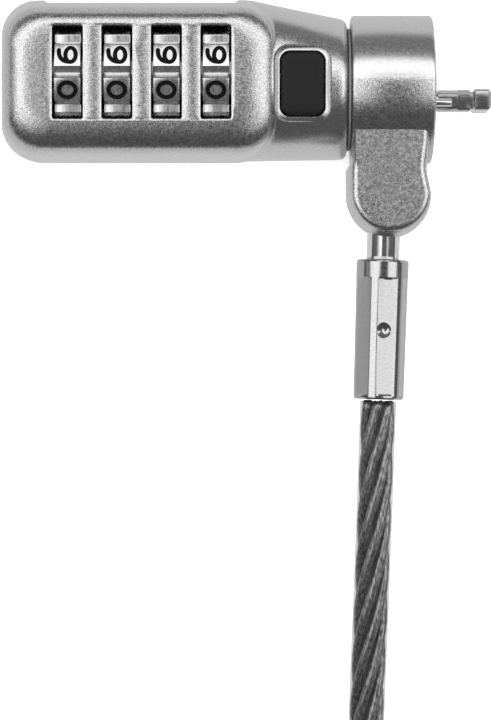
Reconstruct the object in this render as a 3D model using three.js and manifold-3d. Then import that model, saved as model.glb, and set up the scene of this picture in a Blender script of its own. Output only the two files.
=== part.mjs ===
// Combination laptop cable lock: a die-cast body with four dials, a push button that turns the
// T-bar through a rack and pinion, a swivel collar on the nose, and a steel cable with an eye.
// Millimetres, +Z up. The lock lies on its back, dials up, and its nose points along +X.
import * as THREE from 'three';
import { mergeVertices } from 'three/addons/utils/BufferGeometryUtils.js';
import Module from 'manifold-3d';

const wasm = await Module();
wasm.setup();

// ---- driving dimensions, in the lock's own coordinates: X from the body's left end, and Y and Z
// ---- from the axis of the nose and collar

const BODY_LENGTH = 48.2;
const BODY_TOP = 12.46;
const BODY_BOTTOM = -9.94;
const BODY_BACK = -10.7;
const BODY_FRONT = 11.7;
const BLOCK_RIGHT = 37.4;

const DIAL_COUNT = 4;
const FIRST_DIAL_X = 9.86;
const DIAL_PITCH = 6.737;
const DIAL_AXIS = { y: 1.3, z: 4.2 };
const DIAL_RADIUS = 7.89;
const DIAL_GROOVE_RADIUS = 7.1;
const DIAL_WIDTH = 3.6;
const DIAL_FACETS = 10;
const WINDOW = { width: 4.24, low: -5.01, high: 7.73 };

const SLEEVE_WIDTH = 5.2;
const SPINDLE_RADIUS = 1.6;
const SPINDLE_TRAVEL = 0.8;

const BUTTON = { x: 41.9, width: 6.0, height: 8.8, corner: 1.4, bottom: 6.4, top: 9.8 };
const BUTTON_TRAVEL = 3.3;
const BUTTON_RECESS = { width: 7.84, height: 10.65, corner: 2.1 };

const BAR_Y = -1.58;
const BAR_SHAFT_RADIUS = 1.4;
const BAR_WIDTH = 2.94;
const BAR_TIP = 68.3;
const HEAD_START = 65.75;
const HEAD_SPAN = 6.4;
const PIN_RADIUS = 0.55;
const PIN_OFFSET = 2.45;

const PINION_TEETH = 12;
const PINION_PITCH_RADIUS = BUTTON_TRAVEL / (Math.PI / 2);
const TOOTH_PITCH = 2 * Math.PI * PINION_PITCH_RADIUS / PINION_TEETH;
const MODULE = TOOTH_PITCH / Math.PI;

const COLLAR = { start: 48.7, end: 60.1, radius: 10.36, bore: 7.25 };
const NOSE_BARREL_RADIUS = 7.0;
const NOSE_FACE = 60.84;
const LUG = { centreX: 54.08, centreY: -14.8, radius: 5.98, face: 8.3 };

const TILT = 1.8 * Math.PI / 180;
const PIVOT = new THREE.Vector3(53.4, -20.7, 0);
const DOWN_CABLE = new THREE.Vector3(-Math.sin(TILT), -Math.cos(TILT), 0);
const SWIVEL_PIN_RADIUS = 2.3;
const FERRULE_START = 3.1;
const FERRULE_LENGTH = 19.5;
const FERRULE_TOP_RADIUS = 3.67;
const FERRULE_END_RADIUS = 3.55;
const CABLE_DIAMETER = 5.1;

const COIL = { x: 15, y: -133, inner: 21.3, outer: 36.7, low: -9.8, high: 5.5 };
const EYE = { outer: 29.3, inner: 23.95, z: 9.0 };
const EYE_SLEEVE = { length: 14, width: 11.1, height: 5.6, angle: 200 };
const TIE_ANGLES = [45, 235];
const GAP = 0.3;

// ---- solids

function toSolid(geometry) {
  const bare = geometry.index ? geometry.toNonIndexed() : geometry;
  bare.deleteAttribute('normal');
  bare.deleteAttribute('uv');
  const merged = mergeVertices(bare, 1e-4);
  const vertices = Float32Array.from(merged.attributes.position.array);
  const faces = [];
  const order = merged.index.array;
  for (let i = 0; i < order.length; i += 3) {
    const [a, b, c] = [order[i], order[i + 1], order[i + 2]];
    if (a !== b && b !== c && c !== a) faces.push([a, b, c]);
  }
  const corner = (i) => new THREE.Vector3(vertices[3 * i], vertices[3 * i + 1], vertices[3 * i + 2]);
  let volume = 0;
  for (const [a, b, c] of faces) volume += corner(a).dot(corner(b).cross(corner(c)));
  const triangles = Uint32Array.from((volume < 0 ? faces.map(([a, b, c]) => [a, c, b]) : faces).flat());
  return new wasm.Manifold(new wasm.Mesh({ numProp: 3, vertProperties: vertices, triVerts: triangles }));
}

function toGeometry(solid) {
  const mesh = solid.getMesh();
  const geometry = new THREE.BufferGeometry();
  geometry.setAttribute('position', new THREE.BufferAttribute(mesh.vertProperties, 3));
  geometry.setIndex(new THREE.BufferAttribute(mesh.triVerts, 1));
  geometry.computeVertexNormals();
  return geometry;
}

function join(first, ...others) {
  return others.reduce((sum, other) => sum.add(other), first);
}

function cut(first, ...others) {
  return others.reduce((rest, other) => rest.subtract(other), first);
}

function box(x0, x1, y0, y1, z0, z1) {
  const geometry = new THREE.BoxGeometry(x1 - x0, y1 - y0, z1 - z0);
  geometry.translate((x0 + x1) / 2, (y0 + y1) / 2, (z0 + z1) / 2);
  return toSolid(geometry);
}

// A round bar, or a cone, from one point to another.
function rod(from, to, startRadius, endRadius = startRadius, sides = 24) {
  const axis = to.clone().sub(from);
  const geometry = new THREE.CylinderGeometry(endRadius, startRadius, axis.length(), sides);
  const upright = new THREE.Vector3(0, 1, 0);
  const turn = new THREE.Quaternion().setFromUnitVectors(upright, axis.clone().normalize());
  geometry.applyQuaternion(turn);
  const middle = from.clone().add(to).multiplyScalar(0.5);
  geometry.translate(middle.x, middle.y, middle.z);
  return toSolid(geometry);
}

function rodX(x0, x1, y, z, startRadius, endRadius = startRadius, sides = 24) {
  return rod(new THREE.Vector3(x0, y, z), new THREE.Vector3(x1, y, z), startRadius, endRadius, sides);
}

// A turned piece about a line along X: profile points are [x, radius], from axis to axis.
function turnedX(profile, y = 0, z = 0, sides = 48) {
  const geometry = new THREE.LatheGeometry(profile.map(([x, r]) => new THREE.Vector2(r, x)), sides);
  geometry.rotateZ(-Math.PI / 2);
  geometry.translate(0, y, z);
  return toSolid(geometry);
}

// A washer, tube or ring about a line along X.
function ringX(x0, x1, y, z, outer, inner, sides = 32) {
  return turnedX([[x0, inner], [x0, outer], [x1, outer], [x1, inner], [x0, inner]], y, z, sides);
}

function shapeOf(points) {
  return new THREE.Shape(points.map(([u, v]) => new THREE.Vector2(u, v)));
}

// A flat outline of [x, y] points, made thick from z0 to z1.
function prismZ(points, z0, z1) {
  const geometry = new THREE.ExtrudeGeometry(shapeOf(points), { depth: z1 - z0, bevelEnabled: false });
  geometry.translate(0, 0, z0);
  return toSolid(geometry);
}

// A flat outline of [y, z] points, made thick from x0 to x1.
function prismX(points, x0, x1) {
  const geometry = new THREE.ExtrudeGeometry(shapeOf(points), { depth: x1 - x0, bevelEnabled: false });
  const basis = new THREE.Matrix4().makeBasis(
    new THREE.Vector3(0, 1, 0), new THREE.Vector3(0, 0, 1), new THREE.Vector3(1, 0, 0));
  geometry.applyMatrix4(basis);
  geometry.translate(x0, 0, 0);
  return toSolid(geometry);
}

// A skin over a stack of rings, each with the same number of 3-D points, closed by a fan at each end.
function loft(rings) {
  const count = rings[0].length;
  const centre = (ring) => ring.reduce((sum, p) => sum.add(p), new THREE.Vector3()).divideScalar(count);
  const positions = [];
  const face = (...points) => points.forEach((p) => positions.push(p.x, p.y, p.z));
  for (let i = 0; i < count; i++) {
    const j = (i + 1) % count;
    face(centre(rings[0]), rings[0][j], rings[0][i]);
    face(centre(rings.at(-1)), rings.at(-1)[i], rings.at(-1)[j]);
    for (let k = 0; k + 1 < rings.length; k++) {
      face(rings[k][i], rings[k][j], rings[k + 1][j]);
      face(rings[k][i], rings[k + 1][j], rings[k + 1][i]);
    }
  }
  const geometry = new THREE.BufferGeometry();
  geometry.setAttribute('position', new THREE.Float32BufferAttribute(positions, 3));
  return toSolid(geometry);
}

// The outline of a rectangle with round corners, anticlockwise, as [x, y] points.
function roundedRectangle(x0, x1, y0, y1, radius, steps = 5) {
  const corners = [[x1 - radius, y0 + radius, -90], [x1 - radius, y1 - radius, 0],
    [x0 + radius, y1 - radius, 90], [x0 + radius, y0 + radius, 180]];
  return corners.flatMap(([cx, cy, start]) => Array.from({ length: steps + 1 }, (_, i) => {
    const angle = (start + 90 * i / steps) * Math.PI / 180;
    return [cx + radius * Math.cos(angle), cy + radius * Math.sin(angle)];
  }));
}

function ringAtZ(points, z) {
  return points.map(([x, y]) => new THREE.Vector3(x, y, z));
}

// A tube of round section that follows a list of points; only its two ends are closed flat.
function tube(points, radius, sides, steps) {
  const path = new THREE.CatmullRomCurve3(points);
  const section = new THREE.Shape(Array.from({ length: sides }, (_, i) => {
    const angle = 2 * Math.PI * i / sides;
    return new THREE.Vector2(radius * Math.cos(angle), radius * Math.sin(angle));
  }));
  return toSolid(new THREE.ExtrudeGeometry(section, { steps, extrudePath: path, bevelEnabled: false }));
}

// A compression spring as a helix of wire, standing along Z or lying along X.
function helix(centre, radius, wire, length, turns, along = 'z') {
  const pointsPerTurn = 10;
  const points = Array.from({ length: turns * pointsPerTurn + 1 }, (_, i) => {
    const angle = 2 * Math.PI * i / pointsPerTurn;
    const rise = wire + (length - 2 * wire) * i / (turns * pointsPerTurn);
    const [u, v] = [radius * Math.cos(angle), radius * Math.sin(angle)];
    return along === 'z'
      ? new THREE.Vector3(centre.x + u, centre.y + v, centre.z + rise)
      : new THREE.Vector3(centre.x + rise, centre.y + u, centre.z + v);
  });
  return tube(points, wire, 6, turns * pointsPerTurn);
}

// ---- the assembly

const lock = new THREE.Group();

const FINISHES = {
  castZinc: { color: 0xa9aaab, roughness: 0.42, metalness: 0.9 },
  nickel: { color: 0xc9c9c7, roughness: 0.2, metalness: 1.0 },
  chrome: { color: 0xd4d5d6, roughness: 0.12, metalness: 1.0 },
  steel: { color: 0x9fa1a3, roughness: 0.35, metalness: 1.0 },
  brass: { color: 0xb59a57, roughness: 0.35, metalness: 1.0 },
  blackPlastic: { color: 0x1b1b1c, roughness: 0.6, metalness: 0.0 },
  jacket: { color: 0x4a4b4d, roughness: 0.3, metalness: 0.2 },
  strap: { color: 0x202022, roughness: 0.9, metalness: 0.0 },
};

function add(name, solid, finish) {
  const mesh = new THREE.Mesh(toGeometry(solid), new THREE.MeshStandardMaterial(FINISHES[finish]));
  mesh.name = name;
  lock.add(mesh);
}

const dialX = Array.from({ length: DIAL_COUNT }, (_, i) => FIRST_DIAL_X + DIAL_PITCH * i);

// ---- body shell: a drafted, pillow-fronted block and a neck that narrows to a round nose

function blockAndPillow() {
  // [z, left, right, top, bottom, corner radius]
  const levels = [
    [BODY_BACK, 1.5, 36.2, 10.9, -8.8, 4.2],
    [-9.6, 0.6, 37.0, 11.9, -9.6, 4.7],
    [-5.0, 0.15, BLOCK_RIGHT, 12.3, -9.86, 5.0],
    [0.0, 0.0, BLOCK_RIGHT, BODY_TOP, BODY_BOTTOM, 5.0],
    [5.0, 0.3, BLOCK_RIGHT, 12.0, -9.85, 5.0],
    [7.4, 0.9, BLOCK_RIGHT, 11.1, -9.72, 4.9],
    [8.7, 1.6, BLOCK_RIGHT, 9.84, -9.6, 4.8],
    [10.2, 1.9, 37.1, 9.4, -8.7, 4.6],
    [11.2, 2.6, 36.4, 8.7, -7.0, 4.4],
    [BODY_FRONT, 3.9, 35.1, 7.75, -5.05, 4.0],
  ];
  return loft(levels.map(([z, left, right, top, bottom, radius]) =>
    ringAtZ(roundedRectangle(left, right, bottom, top, radius), z)));
}

function neck() {
  // [x, top, bottom, depth each way, squareness of the section: 2 is an ellipse]
  const stations = [
    [30.0, 12.3, -9.9, 9.2, 3.2],
    [34.0, 12.35, BODY_BOTTOM, 9.9, 2.9],
    [38.0, 11.68, -9.92, 10.3, 2.5],
    [42.0, 10.9, -9.88, 10.3, 2.3],
    [45.5, 10.23, -9.83, 10.05, 2.1],
    [47.4, 9.86, -9.8, 9.85, 2.0],
    [47.9, 9.6, -9.55, 9.58, 2.0],
    [BODY_LENGTH, 9.1, -9.1, 9.1, 2.0],
  ];
  const sides = 40;
  return loft(stations.map(([x, top, bottom, depth, power]) => Array.from({ length: sides }, (_, i) => {
    const angle = 2 * Math.PI * i / sides;
    const [c, s] = [Math.cos(angle), Math.sin(angle)];
    const reach = (Math.abs(c) ** power + Math.abs(s) ** power) ** (-1 / power);
    const y = (top + bottom) / 2 + (top - bottom) / 2 * reach * c;
    return new THREE.Vector3(x, y, depth * reach * s);
  })));
}

const CAVITY = { left: 2.9, right: 36.2, low: -6.9, high: 9.5, ceiling: 9.7 };
const NECK_CAVITY = { left: 36.0, right: 46.2, halfHeight: 4.6, low: -7.4, high: 7.0 };
const COVER = { left: 2.2, right: 35.6, low: -8.0, high: 10.1, thickness: 1.6 };
const SCREWS = [{ x: 5.0, y: 8.4 }, { x: 33.8, y: -5.6 }];
const NOSE_SPIGOT_RADIUS = 6.0;

const DIAL_ROOM_RADIUS = 8.2;
const RESET_HOLE_RADIUS = 2.15;
const LABEL_RECESS = { left: 6.3, right: 32.5, floor: 12.15, halfHeight: 4.6 };

function dialCavity() {
  const room = box(CAVITY.left, CAVITY.right, CAVITY.low, CAVITY.high, BODY_BACK - 1, DIAL_AXIS.z);
  const roof = rodX(CAVITY.left, CAVITY.right, DIAL_AXIS.y, DIAL_AXIS.z,
    DIAL_ROOM_RADIUS, DIAL_ROOM_RADIUS, 40);
  const under = box(0, 50, -20, 20, BODY_BACK - 1, CAVITY.ceiling);
  return room.add(roof.intersect(under));
}

// The two corners that the cover screws bite into.
function screwBosses() {
  return SCREWS.map(({ x, y }) => box(
    x < 20 ? CAVITY.left - 0.5 : x - 1.9, x < 20 ? x + 1.9 : CAVITY.right + 0.5,
    y > 0 ? y - 1.9 : CAVITY.low - 0.5, y > 0 ? CAVITY.high + 0.5 : y + 1.9,
    BODY_BACK + COVER.thickness + GAP, -4.6));
}

function windowCut(x) {
  const [half, grow] = [WINDOW.width / 2, 0.35];
  const rim = (extra, z) => ringAtZ(roundedRectangle(x - half - extra, x + half + extra,
    WINDOW.low - extra, WINDOW.high + extra, 0.3 + extra, 1), z);
  return loft([rim(0, 8.0), rim(0, BODY_FRONT - grow), rim(grow, BODY_FRONT), rim(grow, BODY_FRONT + 2)]);
}

function buttonCut() {
  const at = (width, height, corner, z) => ringAtZ(roundedRectangle(BUTTON.x - width / 2,
    BUTTON.x + width / 2, -height / 2, height / 2, corner, 3), z);
  const [slackWidth, slackHeight] = [BUTTON.width + GAP, BUTTON.height + GAP];
  return loft([
    at(slackWidth, slackHeight, BUTTON.corner, 5.0),
    at(slackWidth, slackHeight, BUTTON.corner, 8.7),
    at(BUTTON_RECESS.width, BUTTON_RECESS.height, BUTTON_RECESS.corner, 10.0),
    at(BUTTON_RECESS.width, BUTTON_RECESS.height, BUTTON_RECESS.corner, 12.0),
  ]);
}

function bodyShell() {
  const outside = blockAndPillow().add(neck());
  const neckRoom = box(NECK_CAVITY.left, NECK_CAVITY.right, -NECK_CAVITY.halfHeight,
    NECK_CAVITY.halfHeight, NECK_CAVITY.low, NECK_CAVITY.high);
  const coverSeat = prismZ(roundedRectangle(COVER.left - GAP, COVER.right + GAP, COVER.low - GAP,
    COVER.high + GAP, 3, 3), BODY_BACK - 1, BODY_BACK + COVER.thickness + GAP);
  const bosses = join(...screwBosses());
  const insides = cut(dialCavity(), bosses);
  const pilots = SCREWS.map(({ x, y }) =>
    rod(new THREE.Vector3(x, y, -10), new THREE.Vector3(x, y, -5.4), 0.75, 0.75, 12));
  return cut(outside, insides, neckRoom, coverSeat, ...pilots, buttonCut(), ...dialX.map(windowCut),
    box(LABEL_RECESS.left, LABEL_RECESS.right, LABEL_RECESS.floor, BODY_TOP + 1,
      -LABEL_RECESS.halfHeight, LABEL_RECESS.halfHeight),
    rodX(-1, CAVITY.left + 1, DIAL_AXIS.y, DIAL_AXIS.z, RESET_HOLE_RADIUS),
    rodX(NECK_CAVITY.right - 1, 50, 0, 0, NOSE_SPIGOT_RADIUS + 0.15, NOSE_SPIGOT_RADIUS + 0.15, 32));
}

add('body_shell', bodyShell(), 'castZinc');

function backCover() {
  const plate = prismZ(roundedRectangle(COVER.left, COVER.right, COVER.low, COVER.high, 2.7, 3),
    BODY_BACK, BODY_BACK + COVER.thickness);
  return cut(plate, ...SCREWS.flatMap(({ x, y }) => [
    rod(new THREE.Vector3(x, y, -11), new THREE.Vector3(x, y, -8), 0.95, 0.95, 16),
    rod(new THREE.Vector3(x, y, BODY_BACK - 0.1), new THREE.Vector3(x, y, -9.7), 2.0, 0.95, 16),
  ]));
}

add('back_cover', backCover(), 'castZinc');

SCREWS.forEach(({ x, y }, i) => {
  const at = (z) => new THREE.Vector3(x, y, z);
  const head = rod(at(BODY_BACK + 0.15), at(-9.65), 1.65, 0.65, 16);
  const shank = rod(at(-9.8), at(-5.7), 0.6, 0.6, 12);
  const slot = box(x - 2, x + 2, y - 0.2, y + 0.2, BODY_BACK - 1, BODY_BACK + 0.5);
  add(`cover_screw_${i + 1}`, cut(head.add(shank), slot), 'steel');
});

add('reset_screw', cut(
  rodX(0.5, 2.3, DIAL_AXIS.y, DIAL_AXIS.z, 1.95),
  box(0, 1.2, DIAL_AXIS.y - 0.35, DIAL_AXIS.y + 0.35, DIAL_AXIS.z - 3, DIAL_AXIS.z + 3)), 'brass');

// ---- dial pack: number rings, clutch sleeves, spacers and the spindle that they lock

function ringOutline() {
  const step = 360 / DIAL_FACETS;
  // [angle from the middle of a facet in degrees, radius]: a flat for the number, then a groove
  const sector = [[-11.9, DIAL_RADIUS], [11.9, DIAL_RADIUS], [step / 2, DIAL_GROOVE_RADIUS]];
  return Array.from({ length: DIAL_FACETS }, (_, facet) => sector.map(([angle, radius]) => {
    const turn = (step / 2 + facet * step + angle) * Math.PI / 180;
    return [DIAL_AXIS.y + radius * Math.sin(turn), DIAL_AXIS.z + radius * Math.cos(turn)];
  })).flat().reverse();
}

const BORE_OF_RING = 4.7;

function clutchSleeve(x) {
  const [left, right] = [x - SLEEVE_WIDTH / 2, x + SLEEVE_WIDTH / 2];
  const { y, z } = DIAL_AXIS;
  const web = x - 0.8;
  const counterbore = rodX(web, right + 1, y, z, 2.95);
  const hole = rodX(left - 1, right + 1, y, z, 1.85);
  const keyway = box(left - 1, web + 0.1, y - 0.65, y + 0.65, z, z + 2.8);
  return cut(rodX(left, right, y, z, 4.4, 4.4, 30), counterbore, hole, keyway);
}

dialX.forEach((x, i) => {
  const rim = prismX(ringOutline(), x - DIAL_WIDTH / 2, x + DIAL_WIDTH / 2);
  const bore = rodX(x - 5, x + 5, DIAL_AXIS.y, DIAL_AXIS.z, BORE_OF_RING, BORE_OF_RING, 30);
  add(`dial_ring_${i + 1}`, cut(rim, bore), 'nickel');
  add(`clutch_sleeve_${i + 1}`, clutchSleeve(x), 'steel');
});

for (let i = 0; i + 1 < DIAL_COUNT; i++) {
  const middle = (dialX[i] + dialX[i + 1]) / 2;
  add(`spacer_washer_${i + 1}`,
    ringX(middle - 0.4, middle + 0.4, DIAL_AXIS.y, DIAL_AXIS.z, 4.2, 1.85, 24), 'steel');
}

function spindle() {
  const { y, z } = DIAL_AXIS;
  const shaft = rodX(3.5, 40.5, y, z, SPINDLE_RADIUS, SPINDLE_RADIUS, 20);
  const lugs = dialX.map((x) => box(x + 0.5, x + 1.6, y - 0.5, y + 0.5, z, z + 2.5));
  const flange = rodX(6.0, 6.6, y, z, 2.4, 2.4, 20);
  // The right end slants under the button's lower left edge, which pushes the spindle aside.
  const slope = SPINDLE_TRAVEL / BUTTON_TRAVEL;
  const edge = BUTTON.x - BUTTON.width / 2 - 0.15;
  const endAt = (height) => edge + (BUTTON.bottom - height) * slope;
  const slant = [[endAt(8), 8], [endAt(0), 0], [45, 0], [45, 8]];
  const wedge = loft([y - 3, y + 3].map((across) =>
    slant.map(([x, height]) => new THREE.Vector3(x, across, height))));
  return cut(join(shaft, flange, ...lugs), wedge);
}

add('spindle', spindle(), 'steel');

function bearingPlate(x0, x1) {
  const plate = box(x0, x1, -5.6, 8.2, -3.4, 8.0);
  return cut(plate, rodX(x0 - 1, x1 + 1, DIAL_AXIS.y, DIAL_AXIS.z, 1.85));
}

add('bearing_plate_left', bearingPlate(3.1, 3.8), 'steel');
add('bearing_plate_right', bearingPlate(34.2, 35.4), 'steel');
add('spindle_spring',
  helix(new THREE.Vector3(3.95, DIAL_AXIS.y, DIAL_AXIS.z), 2.15, 0.17, 1.1, 2, 'x'), 'steel');

// A strip spring under the dials, with a raised finger that drops into each ring's grooves.
function detentSpring() {
  const strip = box(7.4, 32.6, -3.2, 5.8, -4.95, -4.65);
  const slots = [0, 1, 2].map((i) => {
    const middle = (dialX[i] + dialX[i + 1]) / 2;
    return box(middle - 1.2, middle + 1.2, -4, 4.3, -6, -4);
  });
  const bumps = dialX.map((x) => {
    const hump = [[0.5, -4.7], [2.1, -4.7], [1.7, -4.1], [0.9, -4.1]];
    return prismX(hump, x - 1.2, x + 1.2);
  });
  return join(cut(strip, ...slots), ...bumps);
}

add('detent_spring', detentSpring(), 'steel');

// ---- button, rack, pinion and T-bar

function buttonCap() {
  const { x, width, height, corner, bottom, top } = BUTTON;
  const at = (inset, z) => ringAtZ(roundedRectangle(x - width / 2 + inset, x + width / 2 - inset,
    -height / 2 + inset, height / 2 - inset, corner - inset, 4), z);
  return loft([at(0, bottom), at(0, top - 0.5), at(0.15, top - 0.15), at(0.5, top)]);
}

add('button_cap', buttonCap(), 'blackPlastic');

const RACK = { left: 41.0, right: 42.6, low: -1.5, high: BUTTON.bottom - 0.1, back: 3.4 };
const RACK_PITCH_Y = BAR_Y + PINION_PITCH_RADIUS;
const TOOTH_HALF = TOOTH_PITCH / 4 - 0.06;
const FLANK = Math.tan(24 * Math.PI / 180);

// The rack's teeth point at the pinion, and one tooth stands level with the pinion's axis.
function buttonRack() {
  const [tip, root] = [RACK_PITCH_Y - 0.75 * MODULE, RACK_PITCH_Y + 1.2 * MODULE];
  const outline = [[RACK.back, RACK.high], [root, RACK.high]];
  for (let k = 4; k >= -1; k--) {
    const z = k * TOOTH_PITCH;
    const [wide, narrow] = [TOOTH_HALF + 1.2 * MODULE * FLANK, TOOTH_HALF - 0.75 * MODULE * FLANK];
    outline.push([root, z + wide], [tip, z + narrow], [tip, z - narrow], [root, z - wide]);
  }
  outline.push([root, RACK.low], [RACK.back, RACK.low]);
  return prismX(outline, RACK.left, RACK.right);
}

add('button_rack', buttonRack(), 'steel');
const SPRING_FLOOR = -7.2;
add('button_spring', helix(new THREE.Vector3(BUTTON.x, 2.2, SPRING_FLOOR), 1.0, 0.2,
  RACK.low - 0.3 - SPRING_FLOOR, 4), 'steel');

function drivePinion() {
  const [root, tip] = [PINION_PITCH_RADIUS - 1.15 * MODULE, PINION_PITCH_RADIUS + 0.75 * MODULE];
  const outline = [];
  for (let k = 0; k < PINION_TEETH; k++) {
    const middle = (k + 0.5) * 2 * Math.PI / PINION_TEETH;
    const corners = [[root, -0.175], [PINION_PITCH_RADIUS, -0.098], [tip, -0.045],
      [tip, 0.045], [PINION_PITCH_RADIUS, 0.098], [root, 0.175]];
    for (const [radius, angle] of corners) {
      const turn = middle + angle;
      outline.push([BAR_Y + radius * Math.cos(turn), radius * Math.sin(turn)]);
    }
  }
  const bore = box(30, 50, BAR_Y - 0.75, BAR_Y + 0.75, -0.75, 0.75);
  return cut(prismX(outline, 40.7, 42.9), bore);
}

add('drive_pinion', drivePinion(), 'brass');
add('shaft_clip', cut(rodX(40.0, 40.4, BAR_Y, 0, 1.9, 1.9, 16),
  box(39, 41, BAR_Y - 0.75, BAR_Y + 0.75, -0.75, 0.75)), 'steel');

function barSection(width, span, chamfer) {
  const [w, s, c] = [width / 2, span / 2, chamfer];
  const corners = [[-w + c, -s], [w - c, -s], [w, -s + c], [w, s - c],
    [w - c, s], [-w + c, s], [-w, s - c], [-w, -s + c]];
  return corners.map(([y, z]) => [BAR_Y + y, z]);
}

function tBar() {
  const square = box(39.6, 44, BAR_Y - 0.65, BAR_Y + 0.65, -0.65, 0.65);
  const shaft = rodX(43.4, 63.8, BAR_Y, 0, BAR_SHAFT_RADIUS);
  const neckBar = prismX(barSection(BAR_WIDTH, 3.0, 0.65), NOSE_FACE + 0.12, 63.8);
  const shoulder = prismX(barSection(BAR_WIDTH, 3.4, 0.4), 63.7, 65.4);
  const waist = prismX(barSection(BAR_WIDTH - 0.5, 3.0, 0.3), 65.3, HEAD_START + 0.1);
  const ring = (inset, x) => barSection(BAR_WIDTH - 2 * inset, HEAD_SPAN - 2 * inset, 0.35)
    .map(([y, z]) => new THREE.Vector3(x, y, z));
  const head = loft([ring(0.3, HEAD_START), ring(0, HEAD_START + 0.3),
    ring(0, BAR_TIP - 0.4), ring(0.4, BAR_TIP)]);
  return join(square, shaft, neckBar, shoulder, waist, head);
}

add('t_bar', tBar(), 'chrome');

// ---- nose: the fixed barrel, cap, guide pins and rings that the collar turns on

function noseHoles(radius) {
  const pins = [-PIN_OFFSET, PIN_OFFSET].map((z) => rodX(55, 62, BAR_Y - 0.4, z, radius, radius, 16));
  return [rodX(40, 70, BAR_Y, 0, 1.62), ...pins];
}

const NOSE_NECK_RADIUS = 5.9;
add('nose_barrel', cut(
  turnedX([[46.4, 0], [46.4, NOSE_SPIGOT_RADIUS], [48.3, NOSE_SPIGOT_RADIUS], [48.3, NOSE_BARREL_RADIUS],
    [58.5, NOSE_BARREL_RADIUS], [58.5, NOSE_NECK_RADIUS], [59.3, NOSE_NECK_RADIUS], [59.3, 0]], 0, 0, 36),
  ...noseHoles(PIN_RADIUS + 0.12)), 'steel');

add('collar_washer', ringX(48.3, 48.6, 0, 0, 8.55, 7.15, 40), 'blackPlastic');
add('retaining_ring', ringX(58.75, 59.25, 0, 0, 9.0, 6.1, 32), 'steel');

add('nose_cap', cut(
  turnedX([[59.5, 0], [59.5, 9.3], [60.1, 9.3], [60.4, 8.9], [60.68, 7.3], [NOSE_FACE, 5.2], [NOSE_FACE, 0]],
    0, 0, 40),
  ...noseHoles(PIN_RADIUS + 0.12)), 'castZinc');

[-PIN_OFFSET, PIN_OFFSET].forEach((z, i) => {
  const pin = turnedX([[56.0, 0], [56.0, PIN_RADIUS], [62.6, PIN_RADIUS], [62.85, 0.3], [62.85, 0]],
    BAR_Y - 0.4, z, 14);
  add(`guide_pin_${i + 1}`, pin, 'steel');
});

// ---- swivel collar: a ring round the nose barrel with a thick hanging lug

function lugOutline(inset) {
  const { centreX, centreY, radius } = LUG;
  const points = [[COLLAR.start + 0.4 * inset, -3], [COLLAR.start + 0.4 * inset, -10.4],
    [centreX - radius + inset, -11.4]];
  const arcSteps = 14;
  for (let i = 0; i <= arcSteps; i++) {
    const angle = Math.PI + Math.PI * i / arcSteps;
    points.push([centreX + (radius - inset) * Math.cos(angle), centreY + (radius - inset) * Math.sin(angle)]);
  }
  points.push([59.62 - inset, -12.8], [59.4 - inset, -11.5], [59.55 - inset, -10.0], [59.85 - inset, -7.6],
    [59.9 - inset, -3]);
  return points;
}

function collar() {
  const { start, end, radius, bore } = COLLAR;
  const chamfer = 0.45;
  const band = turnedX([[start, 0], [start, radius - chamfer], [start + chamfer, radius],
    [end - chamfer, radius], [end, radius - chamfer], [end, 0]], 0, 0, 56);
  const levels = [[-LUG.face, 1.05], [-LUG.face + 0.5, 0.6], [0, 0],
    [LUG.face - 0.5, 0.6], [LUG.face, 1.05]];
  const lug = loft(levels
    .map(([z, inset]) => ringAtZ(lugOutline(inset), z)));
  const along = (distance) => PIVOT.clone().addScaledVector(DOWN_CABLE, distance);
  const pinHole = rod(along(-12), along(2), SWIVEL_PIN_RADIUS + 0.2);
  const headRoom = rod(along(-16), along(-7.4), 3.6, 3.6, 24);
  return cut(band.add(lug), rodX(start - 1, end + 1, 0, 0, bore, bore, 40),
    rodX(58.55, end + 1, 0, 0, 9.5, 9.5, 40), pinHole, headRoom);
}

add('collar', collar(), 'castZinc');

// ---- cable end: swivel pin, crimped ferrule, cable, eye, sleeve and ties

const alongCable = (distance) => PIVOT.clone().addScaledVector(DOWN_CABLE, distance);

function swivelPin() {
  const head = rod(alongCable(-9.6), alongCable(-7.7), 3.2, 3.2, 24);
  const stem = rod(alongCable(-8), alongCable(FERRULE_START + 4), SWIVEL_PIN_RADIUS);
  return head.add(stem);
}

add('swivel_pin', swivelPin(), 'chrome');

function ferrule() {
  const [top, end] = [FERRULE_START, FERRULE_START + FERRULE_LENGTH];
  const barrel = rod(alongCable(top), alongCable(end), FERRULE_TOP_RADIUS, FERRULE_END_RADIUS, 32);
  const socket = rod(alongCable(top - 1), alongCable(top + 4.3), SWIVEL_PIN_RADIUS + 0.15);
  const crimp = (side) => {
    const middle = alongCable((top + 2.6 + end) / 2);
    const flat = new THREE.BoxGeometry(8, end - top, 2);
    flat.rotateZ(-TILT);
    flat.translate(middle.x, middle.y - 1.3, side * (1 + 3.3));
    return toSolid(flat);
  };
  return cut(barrel, socket, crimp(1), crimp(-1));
}

add('ferrule', ferrule(), 'nickel');

// The cable's route from the ferrule down to the surface and into the coil's outer turn.
const exit = alongCable(FERRULE_START + FERRULE_LENGTH + GAP);
const CABLE_ROUTE = [
  [exit.x, exit.y, 0],
  [52.45, -50, -0.1],
  [52.23, -57, -0.45],
  [52.0, -64, -1.05],
  [51.77, -71, -1.85],
  [51.53, -78, -2.8],
  [51.3, -85, -3.8],
  [51.1, -92, -4.8],
  [50.9, -98, -5.6],
  [50.65, -104, -6.3],
  [50.35, -109, -6.75],
  [50.0, -113, -7.0],
];
add('cable', tube(CABLE_ROUTE.map((p) => new THREE.Vector3(...p)), CABLE_DIAMETER / 2, 10, 26), 'jacket');

function aboutCoil(geometry) {
  geometry.rotateX(Math.PI / 2);
  geometry.translate(COIL.x, COIL.y, 0);
  return toSolid(geometry);
}

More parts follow.
